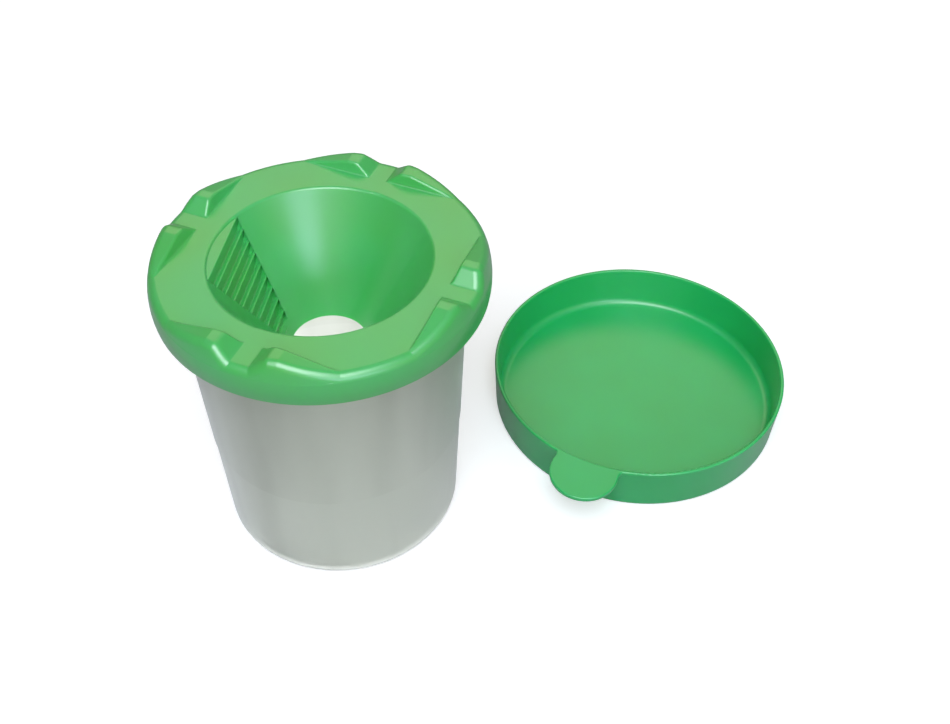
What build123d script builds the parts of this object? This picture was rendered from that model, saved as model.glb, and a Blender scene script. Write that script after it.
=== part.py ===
from build123d import *
from math import sqrt
import os

# Brush washer with lid: a tapered water pot, a funnel top that sits on the pot's
# turned-out lip, and a shallow cap that lies beside them with its open side up.
# Millimetres, +Z up. The origin is the centre of the pot's flat base, and the
# cap lies along +X.

# ---- water pot ----
POT_BASE_R = 37.8          # outside, at the base
POT_MOUTH_R = 41.6         # outside, at the lip
POT_HEIGHT = 98.6          # to the top of the lip
POT_WALL = 1.3
POT_FLOOR = 1.6
POT_HEEL_R = 2.6           # rounded edge round the base
POT_FLOOR_BEVEL = 1.2      # inside, where the floor meets the wall
FILL_LINE_Z = 38.0         # small outside step that marks the water level
FILL_LINE_STEP = 0.25
LIP_R = 45.9
LIP_THICK = 1.4
LIP_BEVEL = 0.4

# ---- funnel top: flat ring, skirt and funnel ----
SEAT_GAP = 0.1             # between the pot's lip and the ring that sits on it
RING_THICK = 1.6
RING_Z = POT_HEIGHT + SEAT_GAP + RING_THICK
SKIRT_BOTTOM_Z = 91.0
SKIRT_BOTTOM_R = 48.2
SKIRT_BULGE_R = 48.5
SKIRT_BULGE_Z = 94.5
CREST_R = 46.0             # where the skirt's curve reaches the ears' top
SKIRT_INNER_R = 46.4
RIM_EDGE_R = 2.7           # rounded edge between the ring and the skirt
MOUTH_R = 32.0             # funnel opening, at the ring
MOUTH_EDGE_R = 1.2
DRAIN_R = 11.4             # hole at the funnel's foot
DRAIN_Z = 66.7
FUNNEL_WALL = 1.8
PLUG_DEPTH = 5.0           # ring that centres the funnel top in the pot's mouth
PLUG_WALL = 1.3
PLUG_CLEARANCE = 0.15

# ---- funnel top: brush rests, each a notch between two raised ears ----
REST_COUNT = 4
REST_TURN = 47.0           # angle of the first rest from +X
EAR_CHORD_X = 38.3         # straight inner foot of the ears, from the axis
EAR_LEAN = 1.0             # how far the inner wall leans outwards over its height
EAR_HEIGHT = 3.4
NOTCH_FLOOR_Y = 2.7        # half width of the notch at its floor
NOTCH_TOP_Y = 7.2          # half width between the ears' tops
EAR_FLAT_Y = 10.4          # end of the ear's level top
EAR_TIP_Y = 25.0           # where the ear has run down to the ring
EAR_TIP_RUN = 1.7          # how far its tip runs on into the rounded rim
EAR_INSET = 0.05           # how far the ears stand in from the skirt's curve
EAR_SHOULDER_R = 2.5
EAR_OUTER_R = 2.7
EAR_INNER_R = 1.0
NOTCH_FOOT_R = 2.0         # hollow curve where the ears' ends meet the notch's floor
WALL_FOOT_R = 0.8          # the same along the foot of their inner walls
FOOT_SINK = 0.1            # how far those curves run out below the ring's surface

# ---- funnel top: washboard ----
BOARD_TURN = 150.3         # angle of the washboard's middle from +X
STEP_COUNT = 9
STEP_TOP_X = 28.3          # first riser, from the axis
STEP_TOP_Z = 98.0          # its mid height
STEP_RUN = 1.7
STEP_RISE = 3.31
STEP_GUTTER = 0.7          # how far each tread dips towards the riser behind it
STEP_EDGE_R = 0.25
STEP_LEAN = 0.02           # draft of each riser
BOARD_DEPTH = 1.2          # how deep the steps reach into the funnel's wall
BOARD_HALF_WIDTH = 20.0
BOARD_FOOT = 0.3           # share of the lowest step that runs out on the plain wall

# ---- cap ----
CAP_X = 110.1              # centre of the cap from the pot's axis
CAP_RIM_R = 51.2
CAP_FACE_R = 50.3          # outside, at the closed end
CAP_HEIGHT = 17.0
CAP_WALL = 1.3
CAP_FLOOR = 1.4
CAP_EDGE_R = 1.4
CAP_FLOOR_R = 2.6
CAP_RIM_EDGE_R = 0.5
TAB_TURN = 223.9           # direction of the tab from the cap's centre
TAB_R = 11.3
TAB_OFFSET = 54.6          # centre of the tab's round end from the cap's centre
TAB_THICK = 1.7
TAB_ROOT_R = 3.0
TAB_EDGE_R = 0.5

EAR_TOP_Z = RING_Z + EAR_HEIGHT
FUNNEL_SLOPE = (MOUTH_R - DRAIN_R) / (RING_Z - DRAIN_Z)
WIDENING = sqrt(1 + FUNNEL_SLOPE ** 2)      # level width of a wall one millimetre thick
POT_TAPER = (POT_MOUTH_R - POT_BASE_R) / POT_HEIGHT
BURY = RIM_EDGE_R + 0.4    # how far down the ears run into what carries them
BEYOND = 60.0              # further than any cut has to reach
CLOSE = 0.02               # two edges or points this near are the same


def turned(section):
    """Revolves a half section, drawn as radius and height, about the Z axis."""
    return revolve(Plane.XZ * section, axis=Axis.Z)


def filled(*points):
    return make_face(Polyline(*points, close=True))


def edges_on_circle(shape, radius, height):
    """The shape's circular edges of one radius at one height."""

    def fits(edge):
        level = abs(edge.center(CenterOf.MASS).Z - height) < CLOSE
        return level and abs(edge.radius - radius) < CLOSE

    return shape.edges().filter_by(GeomType.CIRCLE).filter_by(fits)


def edges_at_height(shape, height):
    """The shape's edges that lie level at one height."""

    def fits(edge):
        box = edge.bounding_box()
        return abs(box.min.Z - height) < CLOSE and abs(box.max.Z - height) < CLOSE

    return shape.edges().filter_by(fits)


def distance_from_axis(point):
    return sqrt(point.X ** 2 + point.Y ** 2)


# ---- water pot ----

def pot_outer_radius(z):
    step = FILL_LINE_STEP if z > FILL_LINE_Z else 0
    return POT_BASE_R + POT_TAPER * z + step


def pot_inner_radius(z):
    return POT_BASE_R + FILL_LINE_STEP / 2 + POT_TAPER * z - POT_WALL


def make_pot():
    lip_under = POT_HEIGHT - LIP_THICK
    above_line = FILL_LINE_Z + FILL_LINE_STEP
    floor_r = pot_inner_radius(POT_FLOOR)
    outline = filled(
        (0, 0),
        (pot_outer_radius(0), 0),
        (pot_outer_radius(FILL_LINE_Z), FILL_LINE_Z),
        (pot_outer_radius(above_line), above_line),
        (pot_outer_radius(lip_under), lip_under),
        (LIP_R, lip_under),
        (LIP_R, POT_HEIGHT - LIP_BEVEL),
        (LIP_R - LIP_BEVEL, POT_HEIGHT),
        (pot_inner_radius(POT_HEIGHT), POT_HEIGHT),
        (floor_r, POT_FLOOR + POT_FLOOR_BEVEL),
        (floor_r - POT_FLOOR_BEVEL, POT_FLOOR),
        (0, POT_FLOOR),
    )
    pot = turned(outline)
    return fillet(edges_on_circle(pot, pot_outer_radius(0), 0), POT_HEEL_R)


# ---- funnel top ----

def funnel_radius(z):
    return DRAIN_R + FUNNEL_SLOPE * (z - DRAIN_Z)


def make_envelope(inset=0.0):
    """Everything inside the skirt's bulging outside, which runs on up to the ears' top."""
    above = EAR_TOP_Z + EAR_HEIGHT
    foot = (SKIRT_BOTTOM_R - inset, SKIRT_BOTTOM_Z)
    crest = (CREST_R - inset, EAR_TOP_Z)
    curve = ThreePointArc(foot, (SKIRT_BULGE_R - inset, SKIRT_BULGE_Z), crest)
    rest = Polyline(crest, (CREST_R - inset, above), (0, above), (0, SKIRT_BOTTOM_Z), foot)
    return turned(make_face(Curve() + [curve, rest]))


def make_rim_block():
    """The solid disc that the ring and skirt are cut from, rounded over its upper edge."""
    below_ring = Pos(0, 0, RING_Z) * Cylinder(BEYOND, BEYOND, align=(Align.CENTER, Align.CENTER, Align.MAX))
    block = make_envelope() & below_ring
    rim = block.edges().filter_by(GeomType.CIRCLE).sort_by(Axis.Z)[-1]
    return fillet(rim, RIM_EDGE_R)


def make_underside():
    """The space under the ring, which leaves the skirt outside and the plug ring inside."""
    under = RING_Z - RING_THICK
    plug_bottom = under - PLUG_DEPTH
    open_below = SKIRT_BOTTOM_Z - PLUG_DEPTH
    plug_top_r = pot_inner_radius(under) - PLUG_CLEARANCE
    plug_bottom_r = pot_inner_radius(plug_bottom) - PLUG_CLEARANCE
    return turned(filled(
        (0, open_below),
        (SKIRT_INNER_R, open_below),
        (SKIRT_INNER_R, under),
        (plug_top_r, under),
        (plug_bottom_r, plug_bottom),
        (plug_bottom_r - PLUG_WALL, plug_bottom),
        (plug_top_r - PLUG_WALL, under),
        (0, under),
    ))


def make_funnel():
    """The plain funnel, as a thick cone whose top is buried in the ring."""
    top = RING_Z - RING_THICK / 2
    wall = FUNNEL_WALL * WIDENING
    return turned(filled(
        (0, DRAIN_Z),
        (DRAIN_R + wall, DRAIN_Z),
        (funnel_radius(top) + wall, top),
        (0, top),
    ))


def make_funnel_space():
    """What the funnel holds open: a cone that flares over the rounded edge of the mouth."""
    low = DRAIN_Z - FUNNEL_WALL
    flare_r = (MOUTH_R + EAR_CHORD_X) / 2
    outline = filled(
        (0, low),
        (funnel_radius(low), low),
        (MOUTH_R, RING_Z),
        (flare_r, RING_Z),
        (flare_r, EAR_TOP_Z),
        (0, EAR_TOP_Z),
    )
    mouth_edge = outline.vertices().sort_by_distance((MOUTH_R, RING_Z))[0]
    return turned(fillet(mouth_edge, MOUTH_EDGE_R))


def make_board_solid():
    """The washboard's steps, filled back to beyond the funnel's wall."""
    beyond = MOUTH_R + BOARD_DEPTH * 2
    half = STEP_RISE / 2
    outline = [(beyond, DRAIN_Z - STEP_RISE), (beyond, STEP_TOP_Z + half)]
    for step in range(STEP_COUNT):
        riser_x = STEP_TOP_X - step * STEP_RUN
        middle_z = STEP_TOP_Z - step * STEP_RISE
        outline.append((riser_x, middle_z + half))
        outline.append((riser_x + STEP_LEAN, middle_z - half - STEP_GUTTER))
    outline.append((riser_x - STEP_RUN, middle_z - half))
    outline.append((riser_x - STEP_RUN, DRAIN_Z - STEP_RISE))
    profile = filled(*outline)
    on_the_steps = profile.vertices().filter_by(lambda v: v.X < beyond - CLOSE and v.Y > DRAIN_Z)
    profile = fillet(on_the_steps, STEP_EDGE_R)
    return extrude(Plane.XZ * profile, BOARD_HALF_WIDTH, both=True)


def make_board_recess():
    """Where the funnel's wall is cut deeper behind the line of the steps' crests."""
    top_z = STEP_TOP_Z + STEP_RISE / 2
    low_z = top_z - (STEP_COUNT - BOARD_FOOT) * STEP_RISE
    low_x = STEP_TOP_X - STEP_RUN / STEP_RISE * (top_z - low_z)
    outer = MOUTH_R + BOARD_DEPTH * 2
    behind = filled((low_x, low_z), (STEP_TOP_X, top_z), (outer, top_z), (outer, low_z))
    deeper = BOARD_DEPTH * WIDENING
    cone = turned(filled(
        (0, DRAIN_Z),
        (DRAIN_R + deeper, DRAIN_Z),
        (MOUTH_R + deeper, RING_Z),
        (0, RING_Z),
    ))
    return cone & extrude(Plane.XZ * behind, BOARD_HALF_WIDTH, both=True)


def make_hollow_with_board():
    turn = Rot(0, 0, BOARD_TURN)
    return make_funnel_space() + turn * make_board_recess() - turn * make_board_solid()


def round_foot(section, across, height, radius):
    """Fills the hollow corner of a section at one point with a curve."""
    return fillet(section.vertices().sort_by_distance((across, height))[0], radius)


def ear_block(sunk=0.0, bottom=RING_Z - BURY):
    """One ear with sharp edges, beside the +X axis; sunk moves its walls inwards all round."""
    top = EAR_TOP_Z - sunk
    foot = RING_Z - sunk
    sink = foot - FOOT_SINK
    far_run = (EAR_TIP_Y - EAR_FLAT_Y) / EAR_HEIGHT
    across = filled(
        (NOTCH_FLOOR_Y - NOTCH_FOOT_R, bottom),
        (NOTCH_FLOOR_Y - NOTCH_FOOT_R, sink),
        (NOTCH_FLOOR_Y, sink),
        (NOTCH_TOP_Y, top),
        (EAR_FLAT_Y, top),
        (EAR_TIP_Y + far_run * (foot - bottom), bottom),
    )
    across = round_foot(across, NOTCH_FLOOR_Y, sink, NOTCH_FOOT_R)
    foot_x = EAR_CHORD_X + sunk
    lean = EAR_LEAN / EAR_HEIGHT * BEYOND
    along = filled(
        (foot_x - WALL_FOOT_R, bottom),
        (foot_x - WALL_FOOT_R, sink),
        (foot_x, sink),
        (foot_x + lean, sink + BEYOND),
        (foot_x + BEYOND, sink + BEYOND),
        (foot_x + BEYOND, bottom),
    )
    along = round_foot(along, foot_x, sink, WALL_FOOT_R)
    ridge = extrude(Plane.YZ * across, BEYOND, dir=(1, 0, 0))
    return ridge & extrude(Plane.XZ * along, EAR_TIP_Y + EAR_TIP_RUN, both=True)


def make_ear():
    """One ear, rounded over its shoulders, then along the skirt, then along its inner wall."""
    lean = EAR_LEAN / EAR_HEIGHT

    def places(edge):
        return [edge.position_at(share) for share in (0.1, 0.5, 0.9)]

    def over_the_top(edge):
        return edge.bounding_box().max.Z > RING_Z + EAR_INNER_R

    def across_the_ring(edge):
        run = edge.tangent_at(0.5)
        return edge.geom_type == GeomType.LINE and abs(run.X) > abs(run.Y) + abs(run.Z)

    def along_the_skirt(edge):
        return all(distance_from_axis(p) > CREST_R - EAR_INSET - CLOSE for p in places(edge))

    def along_the_wall(edge):
        foot_z = RING_Z - FOOT_SINK
        return all(abs(p.X - EAR_CHORD_X - lean * (p.Z - foot_z)) < CLOSE for p in places(edge))

    ear = ear_block() & make_envelope(EAR_INSET)
    for pick, radius in (
        (across_the_ring, EAR_SHOULDER_R),
        (along_the_skirt, EAR_OUTER_R),
        (along_the_wall, EAR_INNER_R),
    ):
        ear = fillet(ear.edges().filter_by(over_the_top).filter_by(pick), radius)
    return ear


def make_ear_hollow():
    """The space moulded out beneath one ear, from below the ring and clear of the plug ring."""
    under = RING_Z - RING_THICK
    within = Cylinder(SKIRT_INNER_R - EAR_OUTER_R, BEYOND) - Cylinder(pot_inner_radius(under), BEYOND)
    return ear_block(RING_THICK, under - BURY) & Pos(0, 0, RING_Z) * within


def make_funnel_top():
    ear, hollow = make_ear(), make_ear_hollow()
    turns = [Rot(0, 0, REST_TURN + rest * 360 / REST_COUNT) for rest in range(REST_COUNT)]
    top = make_rim_block()
    for turn in turns:
        top += [turn * ear, turn * mirror(ear, about=Plane.XZ)]
    top -= make_underside()
    for turn in turns:
        top -= [turn * hollow, turn * mirror(hollow, about=Plane.XZ)]
    return top + make_funnel() - make_hollow_with_board()


# ---- cap ----

def make_tab():
    """Round lifting tab, level with the cap's rim, blended into it on both sides."""
    inside_rim = Circle(CAP_RIM_R - CAP_WALL / 2)
    plate = Pos(TAB_OFFSET, 0) * Circle(TAB_R) + inside_rim
    corners = plate.vertices().filter_by(lambda v: abs(v.Y) > TAB_ROOT_R and v.X > 0)
    plate = fillet(corners, TAB_ROOT_R) - inside_rim
    return Pos(0, 0, CAP_HEIGHT - TAB_THICK) * extrude(plate, TAB_THICK)


def cap_outer_radius(z):
    return CAP_FACE_R + (CAP_RIM_R - CAP_FACE_R) * z / CAP_HEIGHT


def make_cap():
    floor_r = cap_outer_radius(CAP_FLOOR) - CAP_WALL
    cap = turned(filled(
        (0, 0),
        (cap_outer_radius(0), 0),
        (cap_outer_radius(CAP_HEIGHT), CAP_HEIGHT),
        (cap_outer_radius(CAP_HEIGHT) - CAP_WALL, CAP_HEIGHT),
        (floor_r, CAP_FLOOR),
        (0, CAP_FLOOR),
    ))
    cap = fillet(edges_on_circle(cap, cap_outer_radius(0), 0), CAP_EDGE_R)
    cap = fillet(edges_on_circle(cap, floor_r, CAP_FLOOR), CAP_FLOOR_R)
    cap = cap + make_tab()
    cap = fillet(edges_at_height(cap, CAP_HEIGHT), CAP_RIM_EDGE_R)
    under_tab = edges_at_height(cap, CAP_HEIGHT - TAB_THICK).filter_by(lambda e: e.center().X > CAP_RIM_R)
    cap = fillet(under_tab, TAB_EDGE_R)
    return Pos(CAP_X, 0, 0) * Rot(0, 0, TAB_TURN) * cap


def write(shape, node):
    export_step(shape, f"parts/{node}.step")


def main():
    os.makedirs("parts", exist_ok=True)
    write(make_pot(), "pot")
    write(make_funnel_top(), "funnel_top")
    write(make_cap(), "cap")


main()
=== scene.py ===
import bpy
from math import cos, radians, sin
from mathutils import Matrix, Vector

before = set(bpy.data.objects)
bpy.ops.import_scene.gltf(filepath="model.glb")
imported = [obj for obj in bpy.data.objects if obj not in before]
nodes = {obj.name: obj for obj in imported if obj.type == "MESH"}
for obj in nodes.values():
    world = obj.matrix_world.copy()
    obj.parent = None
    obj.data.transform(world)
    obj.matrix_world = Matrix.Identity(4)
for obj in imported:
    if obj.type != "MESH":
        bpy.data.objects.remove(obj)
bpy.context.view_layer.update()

# Brush washer with lid: a frosted polypropylene pot, its green funnel top and the
# green cap that lies beside it. Metres: the origin is the centre of the pot's base,
# +Z is up and the cap lies along +X. A turn is measured on the floor from +X, and
# all turns and tilts are in degrees.

MM = 0.001
FILL_LINE = 38 * MM          # height of the small step round the pot
FILL_LINE_BLUR = 0.3 * MM

# ---- finishes: each pair of colours is the body of the plastic, then where it is lighter ----
# on the pot the lighter colour goes on painted reflection streaks, which stand in for the lamps'
# soft reflections, and below the fill line
POT_COLOURS = "#9EA29B", "#B1B5AF"
FUNNEL_TOP_COLOURS = "#44B64E", "#40C06A"
CAP_COLOURS = "#06B65A", "#1AC068"
FUNNEL_TOP_SHINE = 1.0       # how much of the light its skin throws back
CAP_SHINE = 0.8
WHITE = "#FFFFFF"

# ---- camera ----
CAMERA_AT = Vector((-53.2, -248.9, 314.2)) * MM
LOOK_TURN = 68.02
LOOK_DOWN = 45.55            # below level
CAMERA_ROLL = 0.69
FIELD_OF_VIEW = 44.23        # across the picture

# ---- lights: the way each shines, how far it stands from the middle of the two
# pieces on the floor, its width and height in metres, its watts and its colour ----
MIDDLE = Vector((55, 0, 60)) * MM
WINDOW_TURN, WINDOW_DOWN = 88.0, 22.0
LIGHTS = {
    # low behind the camera: the pale band down the funnel's far wall
    "window": (WINDOW_TURN, WINDOW_DOWN, 1.5, (0.75, 0.32), 4.4, "#C4DCFF"),
    # above the camera: the highlights on the rounded edges
    "lamp": (61.0, 60.0, 1.2, (0.75, 0.75), 10.9, "#F0F6FF"),
    # on the far side: the haze on the level faces, which mirror it
    "panel": (248.0, 44.0, 1.0, (1.0, 0.45), 1.6, "#FFF0CC"),
}
ROOM_LOW_COLOUR = "#FFEFD0"  # light from the room's walls, near the floor
ROOM_HIGH_COLOUR = "#E4EFFF"  # light from its ceiling
ROOM_STRENGTH = 0.21
WINDOW_SIDE_STRENGTH = 0.75  # on the side where the window is
WINDOW_SIDE_SPREAD = 0.5     # cosine of how far round the window that side reaches

# ---- floor: the top of a light table ----
FLOOR_SIZE = 6.0
TABLE_COLOUR = "#E8E8EA"     # as it is seen
TABLE_DIM_COLOUR = "#6C7078"  # as it lights the pieces, which would else go pale from below
TABLE_SHEEN = 0.5            # share of the way back to its seen colour, where it is mirrored
TABLE_GLOW = 0.45            # its own light, near the pieces
FAR_GLOW = 0.9               # and far from them
GLOW_RISE = 0.35, 1.0        # distances over which one becomes the other
THROUGH_GLOW = 2.6           # its light where it shines up through the pot


def linear(hex_colour):
    """An sRGB hex colour as the linear RGBA that Blender's sockets take."""
    channels = [int(hex_colour[i:i + 2], 16) / 255 for i in (1, 3, 5)]
    return [c / 12.92 if c <= 0.04045 else ((c + 0.055) / 1.055) ** 2.4 for c in channels] + [1.0]


def add_node(tree, kind, settings=None, links=None):
    """Adds a shader node. Settings name or number its sockets, or name its properties;
    links name or number its inputs, each with the output that feeds it."""
    node = tree.nodes.new(kind)
    for name, value in (settings or {}).items():
        if isinstance(name, int) or name in node.inputs:
            node.inputs[name].default_value = value
        else:
            setattr(node, name, value)
    for name, source in (links or {}).items():
        tree.links.new(source, node.inputs[name])
    return node


def add_ramp(tree, fac, low, low_colour, high, high_colour):
    """Adds a blend from one colour to another as fac goes from low to high; returns its colour."""
    ramp = add_node(tree, "ShaderNodeValToRGB", {}, {"Fac": fac})
    stops = (low, low_colour), (high, high_colour)
    for element, (position, colour) in zip(ramp.color_ramp.elements, stops):
        element.position = position
        element.color = linear(colour)
    return ramp.outputs["Color"]


def new_material(name):
    material = bpy.data.materials.new(name)
    material.use_nodes = True
    material.node_tree.nodes.clear()
    return material, material.node_tree


def set_surface(tree, shader):
    add_node(tree, "ShaderNodeOutputMaterial", {}, {"Surface": shader.outputs["BSDF"]})


def green_moulded_polypropylene(name, body_colour, flow_colour, shine):
    """Moulded polypropylene, dyed through: it has a waxy satin gloss, cloudy flow marks some
    centimetres wide where the melt cooled unevenly, and the faint grain of the spark-eroded
    mould."""
    flow_width = 24 * MM
    grain_size = 0.7 * MM    # the real grain is about 0.05 mm, drawn coarser so that it shows
    material, tree = new_material(name)
    where = add_node(tree, "ShaderNodeTexCoord").outputs["Object"]
    flow = add_node(tree, "ShaderNodeTexNoise", {"Scale": 1 / flow_width, "Detail": 1.0},
                    {"Vector": where}).outputs["Fac"]
    grain = add_node(tree, "ShaderNodeTexNoise", {"Scale": 1 / grain_size, "Detail": 2.0},
                     {"Vector": where})
    satin = add_node(tree, "ShaderNodeMapRange",
                     {"From Min": 0.15, "From Max": 0.85, "To Min": 0.29, "To Max": 0.36},
                     {"Value": flow})
    skin = add_node(tree, "ShaderNodeBump", {"Strength": 0.12, "Distance": 0.03 * MM},
                    {"Height": grain.outputs["Fac"]})
    set_surface(tree, add_node(
        tree, "ShaderNodeBsdfPrincipled",
        {"IOR": 1.49, "Specular IOR Level": shine, "Coat Weight": 1.0, "Coat Roughness": 0.4,
         "Subsurface Weight": 0.4, "Subsurface Scale": 2.0 * MM,
         "Subsurface Radius": (0.2, 1.0, 0.3)},
        {"Base Color": add_ramp(tree, flow, 0.15, body_colour, 0.85, flow_colour),
         "Roughness": satin.outputs["Result"], "Normal": skin.outputs["Normal"]}))
    return material


def frosted_natural_polypropylene(name, milk_colour, painted_streak_and_thin_colour):
    """Natural polypropylene with a frosted mould skin: milky, so that what is behind it shows
    only as a soft light or dark, dull and paler where it turns away, with faint painted
    reflection streaks from base to lip, lighter upright bands that stand in for the lamps'
    soft reflections, and a shade lighter below the fill line, where the wall is thinner."""
    painted_reflection_streak_width = 16 * MM
    painted_reflection_streak_squeeze = 0.12    # the painted reflection streaks are about eight times as tall as wide
    painted_reflection_streak_start = 24 * MM   # slides the painted reflection streaks round to where the pot shows them
    frost_size = 0.5 * MM    # the real frosting is about 0.03 mm, drawn coarser so that it shows
    material, tree = new_material(name)
    where = add_node(tree, "ShaderNodeTexCoord").outputs["Object"]
    upright = add_node(tree, "ShaderNodeMapping",
                       {"Scale": (1.0, 1.0, painted_reflection_streak_squeeze), "Location": (painted_reflection_streak_start, 0.0, 0.0)},
                       {"Vector": where})
    # painted reflection streaks: lighter upright bands of noise that stand in for soft reflections
    # of the lamps on the pot
    painted_reflection_streak = add_node(tree, "ShaderNodeTexNoise", {"Scale": 1 / painted_reflection_streak_width, "Detail": 2.0},
                      {"Vector": upright.outputs["Vector"]})
    frost = add_node(tree, "ShaderNodeTexNoise", {"Scale": 1 / frost_size, "Detail": 2.0},
                     {"Vector": where})
    height = add_node(tree, "ShaderNodeSeparateXYZ", {}, {"Vector": where}).outputs["Z"]
    thinned = add_node(tree, "ShaderNodeMapRange",
                       {"From Min": FILL_LINE - FILL_LINE_BLUR,
                        "From Max": FILL_LINE + FILL_LINE_BLUR,
                        "To Min": 0.14, "To Max": 0.0}, {"Value": height})
    # the pale end of the colour blend: the painted reflection streaks, plus the lighter wall below
    # the fill line
    clear = add_node(tree, "ShaderNodeMath", {"operation": "ADD"},
                     {0: painted_reflection_streak.outputs["Fac"], 1: thinned.outputs["Result"]})
    skin = add_node(tree, "ShaderNodeBump", {"Strength": 0.15, "Distance": 0.02 * MM},
                    {"Height": frost.outputs["Fac"]})
    set_surface(tree, add_node(
        tree, "ShaderNodeBsdfPrincipled",
        {"IOR": 1.49, "Roughness": 0.5, "Transmission Weight": 0.94,
         "Sheen Weight": 0.6, "Sheen Roughness": 0.4},
        {"Base Color": add_ramp(tree, clear.outputs["Value"], 0.35, milk_colour, 0.7, painted_streak_and_thin_colour),
         "Normal": skin.outputs["Normal"]}))
    return material


def light_table_acrylic(name):
    """Matt white acrylic, lit from below, so that a piece on it throws hardly a shadow and
    the frosted pot is light right down to its base."""
    material, tree = new_material(name)
    ray = add_node(tree, "ShaderNodeLightPath").outputs
    where = add_node(tree, "ShaderNodeTexCoord").outputs["Object"]
    away = add_node(tree, "ShaderNodeVectorMath", {"operation": "LENGTH"}, {0: where})
    own_glow = add_node(tree, "ShaderNodeMapRange",
                        {"From Min": GLOW_RISE[0], "From Max": GLOW_RISE[1],
                         "To Min": TABLE_GLOW, "To Max": FAR_GLOW},
                        {"Value": away.outputs["Value"]})
    up_glow = add_node(tree, "ShaderNodeMapRange", {"To Min": 0.0, "To Max": THROUGH_GLOW},
                       {"Value": ray["Is Transmission Ray"]})
    glow = add_node(tree, "ShaderNodeMapRange", {},
                    {"Value": ray["Is Camera Ray"], "To Min": up_glow.outputs["Result"],
                     "To Max": own_glow.outputs["Result"]})
    bright = add_node(tree, "ShaderNodeMath", {"operation": "MULTIPLY_ADD", 1: TABLE_SHEEN},
                      {0: ray["Is Glossy Ray"], 2: ray["Is Camera Ray"]})
    tone = add_ramp(tree, bright.outputs["Value"], 0.0, TABLE_DIM_COLOUR, 1.0, TABLE_COLOUR)
    set_surface(tree, add_node(
        tree, "ShaderNodeBsdfPrincipled",
        {"Roughness": 0.9, "Specular IOR Level": 0.2, "Emission Color": linear(WHITE)},
        {"Base Color": tone, "Emission Strength": glow.outputs["Result"]}))
    return material


def finish_node(node, material):
    for index in range(len(nodes[node].data.materials)):
        nodes[node].data.materials[index] = material


def turn_towards(turn, down):
    """Unit vector that points turn degrees from +X on the floor and down degrees below level."""
    level = cos(radians(down))
    return Vector((level * cos(radians(turn)), level * sin(radians(turn)), -sin(radians(down))))


def add_camera():
    lens = bpy.data.cameras.new("camera")
    lens.sensor_width = 36.0
    lens.angle = radians(FIELD_OF_VIEW)
    camera = bpy.data.objects.new("camera", lens)
    bpy.context.scene.collection.objects.link(camera)
    aim = turn_towards(LOOK_TURN, LOOK_DOWN).to_track_quat("-Z", "Y").to_matrix()
    turn = aim @ Matrix.Rotation(radians(CAMERA_ROLL), 3, "Z")
    camera.matrix_world = Matrix.Translation(CAMERA_AT) @ turn.to_4x4()
    bpy.context.scene.camera = camera


def add_soft_light(name, turn, down, away, size, power, colour):
    shine = turn_towards(turn, down)
    lamp = bpy.data.lights.new(name, "AREA")
    lamp.shape = "RECTANGLE"
    lamp.size, lamp.size_y = size
    lamp.energy = power
    lamp.color = linear(colour)[:3]
    light = bpy.data.objects.new(name, lamp)
    bpy.context.scene.collection.objects.link(light)
    light.location = MIDDLE - shine * away
    light.rotation_euler = shine.to_track_quat("-Z", "Y").to_euler()


def add_room_light():
    """Weak light from all round, warm near the floor and cool overhead, stronger on the
    window's side, with a plain white backdrop to look at."""
    world = bpy.data.worlds.new("room")
    bpy.context.scene.world = world
    world.use_nodes = True
    tree = world.node_tree
    tree.nodes.clear()
    where = add_node(tree, "ShaderNodeTexCoord").outputs["Generated"]
    height = add_node(tree, "ShaderNodeSeparateXYZ", {}, {"Vector": where}).outputs["Z"]
    facing = add_node(tree, "ShaderNodeVectorMath",
                      {"operation": "DOT_PRODUCT", 1: -turn_towards(WINDOW_TURN, WINDOW_DOWN)},
                      {0: where})
    strength = add_node(tree, "ShaderNodeMapRange",
                        {"From Min": WINDOW_SIDE_SPREAD, "To Min": ROOM_STRENGTH,
                         "To Max": WINDOW_SIDE_STRENGTH}, {"Value": facing.outputs["Value"]})
    room = add_node(tree, "ShaderNodeBackground", {},
                    {"Color": add_ramp(tree, height, 0.5, ROOM_LOW_COLOUR, 0.8, ROOM_HIGH_COLOUR),
                     "Strength": strength.outputs["Result"]})
    backdrop = add_node(tree, "ShaderNodeBackground", {"Color": linear(WHITE), "Strength": 1.0})
    seen = add_node(tree, "ShaderNodeLightPath").outputs["Is Camera Ray"]
    both = add_node(tree, "ShaderNodeMixShader", {},
                    {0: seen, 1: room.outputs["Background"], 2: backdrop.outputs["Background"]})
    add_node(tree, "ShaderNodeOutputWorld", {}, {"Surface": both.outputs["Shader"]})


def add_floor():
    bpy.ops.mesh.primitive_plane_add(size=FLOOR_SIZE, location=(0, 0, 0))
    floor = bpy.context.object
    floor.name = "floor"
    floor.data.materials.append(light_table_acrylic("white acrylic"))


finish_node("pot", frosted_natural_polypropylene("frosted natural polypropylene", *POT_COLOURS))
finish_node("funnel_top", green_moulded_polypropylene(
    "green moulded polypropylene", *FUNNEL_TOP_COLOURS, FUNNEL_TOP_SHINE))
finish_node("cap", green_moulded_polypropylene(
    "green moulded polypropylene, cap", *CAP_COLOURS, CAP_SHINE))

add_camera()
for name, settings in LIGHTS.items():
    add_soft_light(name, *settings)
add_room_light()
add_floor()
bpy.context.scene.view_settings.view_transform = "Standard"
